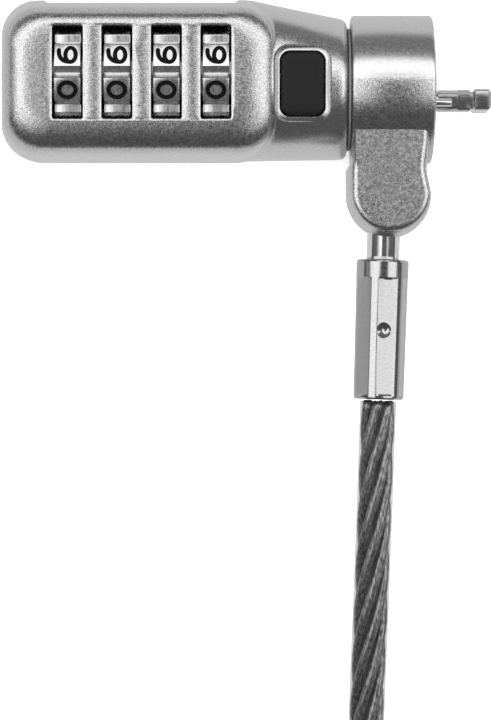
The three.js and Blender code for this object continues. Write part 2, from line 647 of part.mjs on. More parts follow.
function coilRing() {
  const { inner, outer, low, high } = COIL;
  const edge = 1.2;
  const profile = [[inner, low + edge], [inner + edge, low], [outer - edge, low], [outer, low + edge],
    [outer, high - edge], [outer - edge, high], [inner + edge, high],
    [inner, high - edge], [inner, low + edge]];
  return aboutCoil(new THREE.LatheGeometry(profile.map(([r, z]) => new THREE.Vector2(r, z)), 48));
}

add('cable_coil', coilRing(), 'jacket');

// A bar that runs along the coil's circle, at one angle round it.
function barOnCoil(outline, length, radius, z, angle) {
  const geometry = new THREE.ExtrudeGeometry(shapeOf(outline), { depth: length, bevelEnabled: false });
  geometry.translate(0, 0, -length / 2);
  geometry.rotateX(Math.PI / 2);
  geometry.translate(radius, 0, z);
  geometry.rotateZ(angle * Math.PI / 180);
  geometry.translate(COIL.x, COIL.y, 0);
  return toSolid(geometry);
}

// The eye and the strand that leads to it lie side by side on the coil, as one flat band.
function eyeBand() {
  const radius = CABLE_DIAMETER / 2;
  const sides = 12;
  const profile = Array.from({ length: sides + 1 }, (_, i) => {
    const angle = 2 * Math.PI * ((i % sides) + 0.5) / sides - Math.PI / 2;
    const middle = Math.cos(angle) > 0 ? EYE.outer : EYE.inner;
    return new THREE.Vector2(middle + radius * Math.cos(angle), EYE.z + radius * Math.sin(angle));
  });
  return aboutCoil(new THREE.LatheGeometry(profile, 40));
}

function eyeSleeve(length, width, height, corner) {
  const outline = roundedRectangle(-width / 2, width / 2, -height / 2, height / 2, corner, 4);
  return barOnCoil(outline, length, (EYE.outer + EYE.inner) / 2, EYE.z, EYE_SLEEVE.angle);
}

const { length: sleeveLength, width: sleeveWidth, height: sleeveHeight } = EYE_SLEEVE;
add('cable_eye', cut(eyeBand(), eyeSleeve(sleeveLength + 2 * GAP, 14, 9, 1)), 'jacket');
add('eye_sleeve', eyeSleeve(sleeveLength, sleeveWidth, sleeveHeight, 2.7), 'nickel');

// Two straps hold the coil; each passes under it, so the coil rests on them.
TIE_ANGLES.forEach((angle, i) => {
  const [thickness, slack, bow, width] = [0.65, 0.25, 0.2, 7];
  const wrap = (grow, across) => {
    const halfWidth = (COIL.outer - COIL.inner) / 2 + bow + grow;
    const halfHeight = (COIL.high - COIL.low) / 2 + grow;
    const outline = [[-halfWidth, -halfHeight], [halfWidth, -halfHeight],
      [halfWidth, halfHeight], [-halfWidth, halfHeight]];
    return barOnCoil(outline, across, (COIL.outer + COIL.inner) / 2, (COIL.high + COIL.low) / 2, angle);
  };
  add(`coil_tie_${i + 1}`, cut(wrap(slack + thickness, width), wrap(slack, width + 2)), 'strap');
});

// ---- the origin: on the surface the lock lies on, under the middle of the lock without its cable

const LOCK_LOW_Y = alongCable(FERRULE_START + FERRULE_LENGTH).y - FERRULE_END_RADIUS * Math.sin(TILT);
lock.position.set(-BAR_TIP / 2, -(BODY_TOP + LOCK_LOW_Y) / 2, -BODY_BACK);

export default lock;
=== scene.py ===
"""The looks of a combination laptop cable lock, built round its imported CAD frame.

Shapes are made in the lock's own millimetres: X from the body's left end, Y and Z from the axis
of the nose and collar. place() then turns them into the frame's metres.
"""

import math

import bmesh
import bpy
import numpy as np
from mathutils import Matrix, Vector


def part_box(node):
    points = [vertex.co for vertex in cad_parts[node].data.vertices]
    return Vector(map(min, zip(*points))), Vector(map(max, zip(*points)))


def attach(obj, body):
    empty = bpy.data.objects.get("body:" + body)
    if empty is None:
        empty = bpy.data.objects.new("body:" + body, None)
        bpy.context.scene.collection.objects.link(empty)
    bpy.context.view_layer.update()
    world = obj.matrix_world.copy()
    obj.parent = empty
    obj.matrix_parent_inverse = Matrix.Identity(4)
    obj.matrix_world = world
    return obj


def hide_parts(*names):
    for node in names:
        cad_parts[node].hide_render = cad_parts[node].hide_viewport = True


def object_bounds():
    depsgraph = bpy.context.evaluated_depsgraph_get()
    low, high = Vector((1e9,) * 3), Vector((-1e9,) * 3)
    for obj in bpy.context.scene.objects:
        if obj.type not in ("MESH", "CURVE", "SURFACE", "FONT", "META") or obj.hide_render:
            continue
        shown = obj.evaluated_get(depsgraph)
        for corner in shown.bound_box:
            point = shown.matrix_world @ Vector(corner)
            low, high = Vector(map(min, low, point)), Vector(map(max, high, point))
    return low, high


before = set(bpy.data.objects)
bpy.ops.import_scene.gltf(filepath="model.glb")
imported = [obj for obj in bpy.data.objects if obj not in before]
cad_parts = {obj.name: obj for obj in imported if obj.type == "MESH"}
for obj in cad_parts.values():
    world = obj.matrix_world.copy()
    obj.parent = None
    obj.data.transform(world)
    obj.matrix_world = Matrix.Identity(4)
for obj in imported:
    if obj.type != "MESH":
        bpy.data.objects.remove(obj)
cad_low, cad_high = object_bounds()

MM = 0.001
shell_low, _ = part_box("body_shell")
barrel_low, barrel_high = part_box("nose_barrel")
ORIGIN = Vector((shell_low.x, (barrel_low.y + barrel_high.y) / 2, (barrel_low.z + barrel_high.z) / 2))


def to_row(point):
    """A point in the lock's millimetres, in the frame's metres."""
    return ORIGIN + Vector(point) * MM


# ---- camera: straight above the lock, with the cable leaving at the bottom of the picture

CAMERA_POINT = (34.09, -37.8, 400.0)
SENSOR = 36.0
VIEW_ANGLE = math.radians(14.36)

camera = bpy.data.objects.new("camera", bpy.data.cameras.new("camera"))
camera.data.sensor_width = SENSOR
camera.data.lens = SENSOR / 2 / math.tan(VIEW_ANGLE / 2)
camera.data.clip_start = 0.01
camera.data.clip_end = 10.0
camera.location = to_row(CAMERA_POINT)
bpy.context.scene.collection.objects.link(camera)
bpy.context.scene.camera = camera
bpy.context.scene.view_settings.view_transform = "Standard"


# ---- mesh helpers


def new_object(name, vertices, faces, material=None):
    mesh = bpy.data.meshes.new(name)
    mesh.from_pydata([tuple(v) for v in vertices], [], faces)
    work = bmesh.new()
    work.from_mesh(mesh)
    bmesh.ops.recalc_face_normals(work, faces=work.faces)
    work.to_mesh(mesh)
    work.free()
    if material:
        mesh.materials.append(material)
    obj = bpy.data.objects.new(name, mesh)
    bpy.context.scene.collection.objects.link(obj)
    return obj


def loft(name, rings, material=None):
    """A skin over rings of equal point counts, with a face on each end."""
    count = len(rings[0])
    faces = []
    for k in range(len(rings) - 1):
        a, b = k * count, (k + 1) * count
        for i in range(count):
            j = (i + 1) % count
            faces.append((a + i, a + j, b + j, b + i))
    faces.append(tuple(range(count)))
    faces.append(tuple(range((len(rings) - 1) * count, len(rings) * count)))
    return new_object(name, [p for ring in rings for p in ring], faces, material)


def join(name, objects):
    """One object that holds the meshes of several, left as separate shells."""
    work = bmesh.new()
    mesh = bpy.data.meshes.new(name)
    for obj in objects:
        for material in obj.data.materials:
            if material.name not in mesh.materials:
                mesh.materials.append(material)
            number = mesh.materials.find(material.name)
            obj.data.polygons.foreach_set("material_index", [number] * len(obj.data.polygons))
        work.from_mesh(obj.data)
    work.to_mesh(mesh)
    work.free()
    for obj in objects:
        bpy.data.objects.remove(obj)
    joined = bpy.data.objects.new(name, mesh)
    bpy.context.scene.collection.objects.link(joined)
    return joined


def apply_modifiers(obj):
    bpy.context.view_layer.update()
    evaluated = obj.evaluated_get(bpy.context.evaluated_depsgraph_get())
    mesh = bpy.data.meshes.new_from_object(evaluated)
    obj.modifiers.clear()
    obj.data = mesh
    return obj


def combine(obj, operation, *others, solver="MANIFOLD"):
    """Boolean with each other object in turn; the cutters' materials come along."""
    for other in others:
        change = obj.modifiers.new("boolean", "BOOLEAN")
        change.operation = operation
        change.solver = solver
        change.use_self = solver == "EXACT"
        change.material_mode = "TRANSFER"
        change.object = other
        apply_modifiers(obj)
        bpy.data.objects.remove(other)
    return obj


def cut(obj, *others):
    return combine(obj, "DIFFERENCE", *others)


def unite(obj, *others):
    return combine(obj, "UNION", *others)


def bevel(obj, width, segments=2, angle=30):
    change = obj.modifiers.new("bevel", "BEVEL")
    change.width = width
    change.segments = segments
    change.limit_method = "ANGLE"
    change.angle_limit = math.radians(angle)
    return apply_modifiers(obj)


def soften(obj, voxel, rounds, keep):
    """A casting's blended edges: an even new skin, smoothed, with the spare faces taken out."""
    change = obj.modifiers.new("skin", "REMESH")
    change.mode = "VOXEL"
    change.voxel_size = voxel
    smooth = obj.modifiers.new("smooth", "SMOOTH")
    smooth.factor = 0.5
    smooth.iterations = rounds
    thin = obj.modifiers.new("thin", "DECIMATE")
    thin.ratio = keep
    return apply_modifiers(obj)


def shade(obj, angle=None):
    obj.data.polygons.foreach_set("use_smooth", [True] * len(obj.data.polygons))
    if angle is not None:
        obj.data.set_sharp_from_angle(angle=math.radians(angle))
    obj.data.update()
    return obj


def place(obj, body, slot, *nodes, material=None, angle=None):
    """Puts a finished piece in the frame: its size, finish, body and the nodes it stands for; its slot
    argument is not used.
    """
    obj.data.transform(Matrix.Translation(ORIGIN) @ Matrix.Scale(MM, 4))
    if material:
        obj.data.materials.clear()
        obj.data.materials.append(material)
    shade(obj, angle)
    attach(obj, body)
    if nodes:
        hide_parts(*nodes)
    return obj


def box(x0, x1, y0, y1, z0, z1):
    rings = [[(x0, y0, z), (x1, y0, z), (x1, y1, z), (x0, y1, z)] for z in (z0, z1)]
    return loft("box", rings)


def rounded_rectangle(x0, x1, y0, y1, radius, steps=8):
    """Anticlockwise [x, y] points of a rectangle with round corners."""
    corners = [(x1 - radius, y0 + radius, -90), (x1 - radius, y1 - radius, 0),
               (x0 + radius, y1 - radius, 90), (x0 + radius, y0 + radius, 180)]
    points = []
    for cx, cy, start in corners:
        for i in range(steps + 1):
            angle = math.radians(start + 90 * i / steps)
            points.append((cx + radius * math.cos(angle), cy + radius * math.sin(angle)))
    return points


def at_z(points, z):
    return [(x, y, z) for x, y in points]


def turned(name, start, direction, profile, sides=72):
    """A turned piece: profile points are (distance along the axis, radius)."""
    axis = Vector(direction).normalized()
    side = axis.orthogonal().normalized()
    other = axis.cross(side)
    rings = []
    for along, radius in profile:
        middle = Vector(start) + axis * along
        turns = [2 * math.pi * i / sides for i in range(sides)]
        rings.append([middle + (side * math.cos(a) + other * math.sin(a)) * radius for a in turns])
    return loft(name, rings)


def rod(start, end, radius, sides=48):
    direction = Vector(end) - Vector(start)
    return turned("rod", start, direction, [(0, radius), (direction.length, radius)], sides)


def prism(plane, outline, low, high, material=None):
    """An outline made thick: plane "yz" runs along X, and "xy" along Z."""
    if plane == "yz":
        rings = [[(x, y, z) for y, z in outline] for x in (low, high)]
    else:
        rings = [at_z(outline, z) for z in (low, high)]
    return loft("prism", rings, material)


def monotone(rows, keys):
    """Rows at new keys, on a smooth curve through each column that never overshoots."""
    rows = np.array(rows, float)
    known, values = rows[:, 0], rows[:, 1:]
    steps = np.diff(known)[:, None]
    slopes = np.diff(values, axis=0) / steps
    tangents = np.zeros_like(values)
    tangents[0], tangents[-1] = slopes[0], slopes[-1]
    same = slopes[:-1] * slopes[1:] > 0
    total = np.where(same, slopes[:-1] + slopes[1:], 1)
    tangents[1:-1] = np.where(same, 2 * slopes[:-1] * slopes[1:] / total, 0)
    found = []
    for key in keys:
        k = min(max(np.searchsorted(known, key) - 1, 0), len(known) - 2)
        h = known[k + 1] - known[k]
        t = (key - known[k]) / h
        found.append((1 + 2 * t) * (1 - t) ** 2 * values[k] + t * (1 - t) ** 2 * h * tangents[k]
                     + t * t * (3 - 2 * t) * values[k + 1] + t * t * (t - 1) * h * tangents[k + 1])
    return found


def spline(points, spacing):
    """A smooth curve through points, as points about spacing apart."""
    given = np.array(points, float)
    ends = np.vstack([2 * given[0] - given[1], given, 2 * given[-1] - given[-2]])
    found = []
    for k in range(1, len(ends) - 2):
        p0, p1, p2, p3 = ends[k - 1:k + 3]
        pieces = max(1, round(float(np.linalg.norm(p2 - p1)) / spacing))
        for i in range(pieces):
            t = i / pieces
            found.append(0.5 * (2 * p1 + (p2 - p0) * t + (2 * p0 - 5 * p1 + 4 * p2 - p3) * t ** 2
                                + (3 * p1 - p0 - 3 * p2 + p3) * t ** 3))
    found.append(given[-1])
    return np.array(found)


def frames_along(points, closed=False):
    """Two unit vectors across the line at each point, turning as little as they can."""
    points = np.array(points, float)
    if closed:
        forward = np.roll(points, -1, axis=0) - np.roll(points, 1, axis=0)
    else:
        forward = np.gradient(points, axis=0)
    forward /= np.linalg.norm(forward, axis=1)[:, None]
    guess = np.array([0.0, 0.0, 1.0]) if abs(forward[0][2]) < 0.9 else np.array([1.0, 0.0, 0.0])
    sides, others = [], []
    for f in forward:
        side = guess - f * np.dot(guess, f)
        side /= np.linalg.norm(side)
        sides.append(side)
        others.append(np.cross(f, side))
        guess = side
    return np.array(sides), np.array(others)


def tube(name, points, radius, sides=12, material=None, closed=False, round_ends=False):
    """A round tube along points; its ends are flat, or domed like a pen stroke's."""
    points = np.array(points, float)
    across, over = frames_along(points, closed)
    turns = np.arange(sides) * 2 * math.pi / sides
    offsets = (np.cos(turns)[None, :, None] * across[:, None, :]
               + np.sin(turns)[None, :, None] * over[:, None, :])
    rings = list(points[:, None, :] + radius * offsets)
    if round_ends:
        for index, place_ring in ((0, rings.insert), (-1, lambda _, r: rings.append(r))):
            out = points[index] - points[1 if index == 0 else -2]
            out /= np.linalg.norm(out)
            for lift in (0.5, 0.85, 0.98):
                shrink = math.sqrt(1 - lift * lift)
                place_ring(0, points[index] + out * radius * lift + radius * shrink * offsets[index])
    if closed:
        count = len(rings)
        faces = []
        for k in range(count):
            a, b = k * sides, (k + 1) % count * sides
            for i in range(sides):
                j = (i + 1) % sides
                faces.append((a + i, a + j, b + j, b + i))
        return new_object(name, [p for r in rings for p in r], faces, material)
    return loft(name, [list(r) for r in rings], material)


# ---- materials


class Graph:
    """A small hand for wiring a node tree."""

    def __init__(self, tree):
        self.tree = tree

    def link(self, source, node, socket):
        self.tree.links.new(source, node.inputs[socket])

    def math(self, operation, *values):
        node = self.tree.nodes.new("ShaderNodeMath")
        node.operation = operation
        for i, value in enumerate(values):
            if isinstance(value, (int, float)):
                node.inputs[i].default_value = value
            else:
                self.link(value, node, i)
        return node.outputs["Value"]

    def step(self, value, low, high):
        """0 below low and 1 above high, smoothly."""
        node = self.tree.nodes.new("ShaderNodeMapRange")
        node.interpolation_type = "SMOOTHSTEP"
        node.inputs["From Min"].default_value = low
        node.inputs["From Max"].default_value = high
        self.link(value, node, "Value")
        return node.outputs["Result"]

    def ramp(self, value, *stops):
        """Grey or colour by a value: stops are (place, grey or colour)."""
        node = self.tree.nodes.new("ShaderNodeValToRGB")
        points = node.color_ramp.elements
        while len(points) < len(stops):
            points.new(0.5)
        for point, (at, colour) in zip(points, stops):
            point.position = at
            point.color = (*(colour if isinstance(colour, tuple) else (colour,) * 3), 1)
        self.link(value, node, "Fac")
        return node.outputs["Color"]


class Nodes(Graph):
    """A material's nodes; the sizes of its patterns are in millimetres."""

    def __init__(self, name, colour, metallic, roughness):
        self.material = bpy.data.materials.new(name)
        self.material.use_nodes = True
        super().__init__(self.material.node_tree)
        self.shader = self.tree.nodes["Principled BSDF"]
        self.shader.inputs["Base Color"].default_value = (*colour, 1)
        self.shader.inputs["Metallic"].default_value = metallic
        self.shader.inputs["Roughness"].default_value = roughness
        self.place = self.tree.nodes.new("ShaderNodeTexCoord").outputs["Object"]

    def noise(self, size, detail=2.0, stretch=(1, 1, 1)):
        mapping = self.tree.nodes.new("ShaderNodeMapping")
        mapping.inputs["Scale"].default_value = [s / (size * MM) for s in stretch]
        self.link(self.place, mapping, "Vector")
        noise = self.tree.nodes.new("ShaderNodeTexNoise")
        noise.inputs["Scale"].default_value = 1.0
        noise.inputs["Detail"].default_value = detail
        self.link(mapping.outputs["Vector"], noise, "Vector")
        return noise.outputs["Fac"]

    def between(self, axis, low, high):
        """0 below low and 1 above high along an axis, in the lock's millimetres."""
        split = self.tree.nodes.new("ShaderNodeSeparateXYZ")
        self.link(self.place, split, "Vector")
        shift = ORIGIN["XYZ".index(axis)]
        return self.step(split.outputs[axis], shift + low * MM, shift + high * MM)

    def mix(self, factor, a, b):
        node = self.tree.nodes.new("ShaderNodeMix")
        node.data_type = "RGBA"
        self.link(factor, node, "Factor")
        colour = [s for s in node.inputs if s.type == "RGBA"]
        for socket, value in zip(colour, (a, b)):
            if isinstance(value, tuple):
                socket.default_value = (*value, 1)
            else:
                self.tree.links.new(value, socket)
        return [s for s in node.outputs if s.type == "RGBA"][0]

    def colour(self, value):
        self.link(value, self.shader, "Base Color")

    def roughness(self, value):
        self.link(value, self.shader, "Roughness")

    def bump(self, height, depth, strength=1.0):
        """Raises and lowers the surface by depth millimetres."""
        node = self.tree.nodes.new("ShaderNodeBump")
        node.inputs["Distance"].default_value = depth * MM
        node.inputs["Strength"].default_value = strength
        self.link(height, node, "Height")
        self.link(node.outputs["Normal"], self.shader, "Normal")


def grained_zinc(name, grained_else_painted_sheen=None):
    """Satin nickel over blasted zinc: a fine sparkle of grains. Where the mask is low it is smoother and a
    lighter flat grey, a painted sheen.
    """
    m = Nodes(name, (0.62, 0.62, 0.62), 1.0, 0.26)
    fine = m.noise(0.16, 2.0)
    coarse = m.noise(0.42, 3.0)
    both = m.math("ADD", m.math("MULTIPLY", fine, 0.75), m.math("MULTIPLY", coarse, 0.25))
    speckle = m.ramp(both, (0.36, 0.36), (0.5, 0.55), (0.64, 0.8))
    height = both
    if grained_else_painted_sheen:
        amount = grained_else_painted_sheen(m)
        # Where the mask is low: a lighter flat grey, painted sheen in place of the grain.
        speckle = m.mix(amount, (0.66, 0.66, 0.66), speckle)
        height = m.math("MULTIPLY", both, amount)
    m.colour(speckle)
    m.roughness(m.ramp(coarse, (0.3, 0.2), (0.7, 0.32)))
    m.bump(height, 0.06, 0.65)
    return m.material


def plated(name, grey, roughness, scratch=0.35):
    """Bright plating with faint rubbing marks."""
    m = Nodes(name, (grey,) * 3, 1.0, roughness)
    marks = m.noise(scratch, 3.0, (1, 0.15, 1))
    m.colour(m.ramp(marks, (0.3, grey * 0.9), (0.7, min(1, grey * 1.08))))
    m.roughness(m.ramp(marks, (0.3, roughness * 0.8), (0.75, roughness * 1.35)))
    m.bump(marks, 0.004, 0.4)
    return m.material


def brushed(name, grey, roughness, stretch=(0.12, 1, 1)):
    """Metal rubbed in one direction: long thin marks along the stretched axis."""
    m = Nodes(name, (grey,) * 3, 1.0, roughness)
    marks = m.noise(0.12, 3.0, stretch)
    m.colour(m.ramp(marks, (0.3, grey * 0.82), (0.7, min(1, grey * 1.12))))
    m.roughness(m.ramp(marks, (0.3, roughness * 0.8), (0.75, roughness * 1.3)))
    m.bump(marks, 0.01, 0.5)
    return m.material


def plain_metal(name, colour, roughness):
    """Machined metal inside the lock, with a little tarnish."""
    m = Nodes(name, colour, 1.0, roughness)
    stain = m.noise(1.6, 4.0)
    darker = tuple(c * 0.72 for c in colour)
    m.colour(m.ramp(stain, (0.35, darker), (0.65, colour)))
    m.roughness(m.ramp(stain, (0.3, roughness * 1.3), (0.7, roughness * 0.8)))
    return m.material


def moulded(name, grey, roughness, grain=0.12, depth=0.02, shine=0.5):
    """Moulded plastic with a fine spark texture."""
    m = Nodes(name, (grey,) * 3, 0.0, roughness)
    m.shader.inputs["Specular IOR Level"].default_value = shine
    grains = m.noise(grain, 2.0)
    m.colour(m.ramp(grains, (0.3, grey * 0.75), (0.7, grey * 1.3)))
    m.roughness(m.ramp(grains, (0.3, roughness * 0.85), (0.7, roughness * 1.15)))
    m.bump(grains, depth, 0.6)
    return m.material


def smoked_jacket():
    """Clear PVC with a smoke tint; the strands show through it."""
    m = Nodes("jacket", (0.035, 0.035, 0.037), 0.0, 0.18)
    cloud = m.noise(3.0, 3.0)
    m.colour(m.ramp(cloud, (0.3, 0.02), (0.7, 0.035)))
    m.roughness(m.ramp(cloud, (0.3, 0.14), (0.7, 0.26)))
    m.shader.inputs["Alpha"].default_value = 0.4
    m.shader.inputs["Specular IOR Level"].default_value = 0.5
    return m.material


def wire_strand():
    """A strand of fine bright wires that run a little across it."""
    m = Nodes("wire", (0.5, 0.5, 0.5), 1.0, 0.32)
    wires = m.noise(0.22, 2.0, (1, 0.22, 1))
    m.colour(m.ramp(wires, (0.35, 0.2), (0.5, 0.5), (0.65, 0.85)))
    m.bump(wires, 0.06, 0.8)
    return m.material


def woven_strap():
    """Black nylon tape: a fine weave in both directions."""
    m = Nodes("strap", (0.02, 0.02, 0.022), 0.0, 0.85)
    warp = m.noise(0.5, 1.0, (1, 0.3, 0.3))
    weft = m.noise(0.5, 1.0, (0.3, 1, 1))
    weave = m.math("MULTIPLY", warp, weft)
    m.colour(m.ramp(weave, (0.1, 0.010), (0.45, 0.045)))
    m.bump(weave, 0.12, 0.9)
    m.shader.inputs["Sheen Weight"].default_value = 0.3
    return m.material


# Grain on the body's front face; its sides get the lighter flat grey, a painted reflection of the white
# surroundings.
def front_of_body(m):
    return m.between("Z", 8.2, 10.4)


# Grain on the collar's lower half; its upper half gets the lighter flat grey, painted top light.
def lower_half(m):
    return m.math("SUBTRACT", 1.0, m.between("Y", 0.4, 1.1))


CAST_BODY = grained_zinc("cast_body", front_of_body)
CAST_COLLAR = grained_zinc("cast_collar", lower_half)
CAST_PLAIN = grained_zinc("cast_plain")
NICKEL = plated("nickel", 0.78, 0.27)
CHROME = plated("chrome", 0.8, 0.1)
BAR_STEEL = brushed("bar_steel", 0.62, 0.13)
FERRULE_METAL = brushed("ferrule", 0.5, 0.16, (0.12, 1, 1))
ALUMINIUM = brushed("aluminium", 0.78, 0.32, (1, 0.12, 1))
PAINT = moulded("paint", 0.003, 0.6, depth=0.005, shine=0.1)
BUTTON_BLACK = moulded("button", 0.005, 0.5, shine=0.22)
WASHER_PLASTIC = moulded("washer", 0.14, 0.45)
STEEL = plain_metal("steel", (0.55, 0.55, 0.56), 0.3)
BRASS = plain_metal("brass", (0.72, 0.53, 0.24), 0.3)
JACKET = smoked_jacket()
WIRE = wire_strand()
CORE = moulded("core", 0.012, 0.5, shine=0.2)
STRAP = woven_strap()


# ---- the body: a pillow-fronted block and a neck that narrows to the nose

BODY_LENGTH = 48.2
BODY_TOP = 12.46
BODY_BOTTOM = -9.94
BODY_BACK = -10.7
BODY_FRONT = 11.7
DIAL_X = [9.86 + 6.737 * i for i in range(4)]
DIAL_Y, DIAL_Z = 1.3, 4.2
WINDOW_HALF, WINDOW_LOW, WINDOW_HIGH = 2.12, -5.01, 7.73
CAVITY_LEFT, CAVITY_RIGHT, CAVITY_LOW, CAVITY_HIGH, CEILING = 2.9, 36.2, -6.9, 9.5, 9.7
DIAL_ROOM_RADIUS = 8.2
RESET_HOLE_RADIUS = 2.15
BARREL_HOLE_RADIUS = 6.15
SCREWS = ((5.0, 8.4), (33.8, -5.6))
BUTTON_X = 41.9


def block():
    # [z, left, right, top, bottom, corner radius]
    levels = [
        [BODY_BACK, 1.5, 36.2, 10.9, -8.8, 4.2],
        [-9.6, 0.6, 37.0, 11.9, -9.6, 4.7],
        [-5.0, 0.15, 38.0, 12.3, -9.86, 5.0],
        [0.0, 0.0, 38.3, BODY_TOP, BODY_BOTTOM, 5.0],
        [5.0, 0.4, 38.4, 11.8, -9.86, 5.0],
        [8.0, 0.75, 38.3, 10.9, -9.6, 4.9],
        [9.2, 1.05, 38.2, 10.5, -9.3, 4.9],
        [10.0, 1.45, 38.0, 10.15, -8.9, 4.8],
        [10.6, 1.9, 37.5, 9.8, -8.3, 4.7],
        [11.1, 2.5, 36.7, 9.35, -7.4, 4.6],
        [11.4, 3.05, 35.8, 8.9, -6.5, 4.4],
        [11.6, 3.7, 34.8, 8.3, -5.6, 4.1],
        [11.68, 4.25, 34.0, 7.8, -5.0, 3.8],
        [BODY_FRONT, 4.9, 33.2, 7.2, -4.5, 3.4],
    ]
    heights = [*np.linspace(BODY_BACK, 5, 28), *np.linspace(5.3, 11.0, 26),
               *np.linspace(11.1, BODY_FRONT, 12)]
    rows = monotone(levels, heights)
    return loft("block", [at_z(rounded_rectangle(left, right, bottom, top, radius, 10), z)
                          for z, (left, right, top, bottom, radius) in zip(heights, rows)])


def neck():
    # [x, top, bottom, depth each way, squareness: 2 is an ellipse]
    stations = [
        [30.0, 12.3, -9.9, 9.2, 3.2],
        [34.0, 12.35, BODY_BOTTOM, 9.9, 2.9],
        [38.0, 11.68, -9.92, 10.3, 2.5],
        [42.0, 10.9, -9.88, 10.3, 2.3],
        [45.5, 10.23, -9.83, 10.05, 2.1],
        [47.4, 9.86, -9.8, 9.85, 2.0],
        [47.9, 9.6, -9.55, 9.58, 2.0],
        [BODY_LENGTH, 9.1, -9.1, 9.1, 2.0],
    ]
    along = [*np.linspace(30, 47.4, 50), *np.linspace(47.5, BODY_LENGTH, 8)]
    rings = []
    for x, (top, bottom, depth, power) in zip(along, monotone(stations, along)):
        section = []
        for i in range(120):
            angle = 2 * math.pi * i / 120
            c, s = math.cos(angle), math.sin(angle)
            reach = (abs(c) ** power + abs(s) ** power) ** (-1 / power)
            section.append((x, (top + bottom) / 2 + (top - bottom) / 2 * reach * c, depth * reach * s))
        rings.append(section)
    return loft("neck", rings)


def window_cut(x):
    def rim(extra, z):
        return at_z(rounded_rectangle(x - WINDOW_HALF - extra, x + WINDOW_HALF + extra, WINDOW_LOW - extra,
                                      WINDOW_HIGH + extra, 0.3 + extra, 4), z)
    return loft("window", [rim(0, 7.5), rim(0, BODY_FRONT - 0.16), rim(0.34, BODY_FRONT),
                           rim(0.36, BODY_FRONT + 2)])


def button_recess():
    def rim(width, height, corner, z):
        return at_z(rounded_rectangle(BUTTON_X - width / 2, BUTTON_X + width / 2, -height / 2, height / 2,
                                      corner, 6), z)
    return loft("recess", [rim(6.5, 9.3, 1.5, 9.2), rim(7.6, 10.4, 2.0, 8.9),
                           rim(7.9, 10.75, 2.1, 9.4), rim(8.15, 11.05, 2.25, 12.5)])


def button_hole():
    outline = rounded_rectangle(BUTTON_X - 3.15, BUTTON_X + 3.15, -4.55, 4.55, 1.45, 6)
    return prism("xy", outline, 5, 12)


def label_recess():
    """A shallow plain panel sunk in the top side, following its slope."""
    section = [(12.04, -4.6), (12.04, 0), (11.43, 5), (11.1, 6.4), (14, 6.4), (14, -4.6)]
    ends = ((6.0, 0.5), (6.6, 0), (32.3, 0), (33.1, 0.5))
    return loft("recess", [[(x, y + lift, z) for y, z in section] for x, lift in ends])


def body_shell():
    obj = unite(block(), neck())
    soften(obj, 0.2, 16, 0.5)
    cut(obj, box(CAVITY_LEFT, CAVITY_RIGHT, CAVITY_LOW, CAVITY_HIGH, BODY_BACK - 1, DIAL_Z))
    roof = rod((CAVITY_LEFT, DIAL_Y, DIAL_Z), (CAVITY_RIGHT, DIAL_Y, DIAL_Z), DIAL_ROOM_RADIUS, sides=96)
    combine(roof, "INTERSECT", box(0, 50, -20, 20, -5, CEILING))
    cut(obj, roof)
    cut(obj, box(36.0, 46.2, -4.6, 4.6, -7.4, 7.0))
    cut(obj, prism("xy", rounded_rectangle(1.9, 35.9, -8.3, 10.4, 3.0), BODY_BACK - 1, BODY_BACK + 1.9))
    for x in DIAL_X:
        cut(obj, window_cut(x))
    cut(obj, button_recess())
    cut(obj, button_hole())
    cut(obj, label_recess())
    cut(obj, rod((-1, DIAL_Y, DIAL_Z), (4, DIAL_Y, DIAL_Z), RESET_HOLE_RADIUS))
    cut(obj, rod((45, 0, 0), (50, 0, 0), BARREL_HOLE_RADIUS))
    obj.name = "shell"
    return place(obj, "housing", "cast_body", "body_shell", material=CAST_BODY, angle=32)


body_shell()


def back_cover():
    outline = [(0.35, BODY_BACK), (0, BODY_BACK + 0.35), (0, BODY_BACK + 1.6)]
    rings = [at_z(rounded_rectangle(2.2 + d, 35.6 - d, -8.0 + d, 10.1 - d, 2.7 - d), z) for d, z in outline]
    obj = loft("back_plate", rings)
    for x, y in SCREWS:
        cut(obj, turned("sink", (x, y, -11), (0, 0, 1), [(0, 2.0), (0.3, 2.0), (1.3, 0.95), (3, 0.95)]))
    bevel(obj, 0.08)
    return place(obj, "housing", "cast_cover", "back_cover", material=CAST_PLAIN, angle=35)


back_cover()


# ---- number wheels

RING_FLAT = 7.72
STROKE = 0.31
DIGIT_TILT = -18.0


def arc(cx, cy, rx, ry, start, end, steps=20):
    turns = [math.radians(start + (end - start) * i / steps) for i in range(steps + 1)]
    return [(cx + rx * math.cos(a), cy + ry * math.sin(a)) for a in turns]


def loop(cx, cy, rx, ry):
    return arc(cx, cy, rx, ry, 0, 360)[:-1]


NINE_TAIL = [(1.05, 0.45), (1.0, -0.05), (0.8, -0.55), (0.35, -0.95), (-0.2, -1.13), (-0.72, -1.15)]

